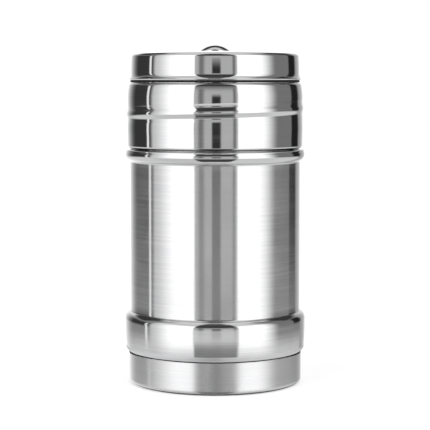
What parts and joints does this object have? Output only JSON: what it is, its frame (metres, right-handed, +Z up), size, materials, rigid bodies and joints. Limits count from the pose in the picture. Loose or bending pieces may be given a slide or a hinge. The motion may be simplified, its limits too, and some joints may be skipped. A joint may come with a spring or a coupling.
{
  "type": "spice shaker",
  "caption": "Cylindrical stainless steel spice shaker with a screw-on head and a rotary cap over fine, coarse and pouring openings.",
  "frame": {"origin": "centre of the surface that the shaker stands on", "axes": "+Z up along the axis that the cap and the head turn about, -Y towards the front, where the closed station lies, +X to the right seen from the front"},
  "size_m": [0.0606, 0.0606, 0.1129],
  "materials": {
    "base_steel": "satin polished",
    "brushed_steel": "finely brushed round the tube, polished on its bead and band",
    "inner_steel": "satin",
    "silicone": "matt translucent white",
    "polished_steel": "mirror polished",
    "cap_steel": "mirror polished",
    "rivet_steel": "polished",
    "spring_steel": "as rolled",
    "washer_steel": "tumbled"
  },
  "bodies": {
    "jar": {"base_cup": "base_steel", "body_tube": "brushed_steel", "neck_ring": "inner_steel"},
    "seal": {"seal_ring": "silicone"},
    "head": {"screw_head": "polished_steel", "cap_rivet": "rivet_steel", "spring_washer": "spring_steel", "rivet_washer": "washer_steel"},
    "cap": {"rotary_cap": "cap_steel"}
  },
  "joints": [
    {"name": "head_lift", "type": "slide", "parent": "jar", "child": "seal", "axis": [0, 0, 1], "range_m": [0, 0.0205]},
    {"name": "head_turn", "type": "hinge", "parent": "seal", "child": "head", "pos_m": [0, 0, 0.09], "axis": [0, 0, 1], "range_deg": [0, 1800]},
    {"name": "cap_turn", "type": "hinge", "parent": "head", "child": "cap", "pos_m": [0, 0, 0.11], "axis": [0, 0, 1], "continuous": true}
  ],
  "couplings": [
    {"joint": "head_lift", "follows": "head_turn", "m_per_rad": 0.00065253}
  ]
}
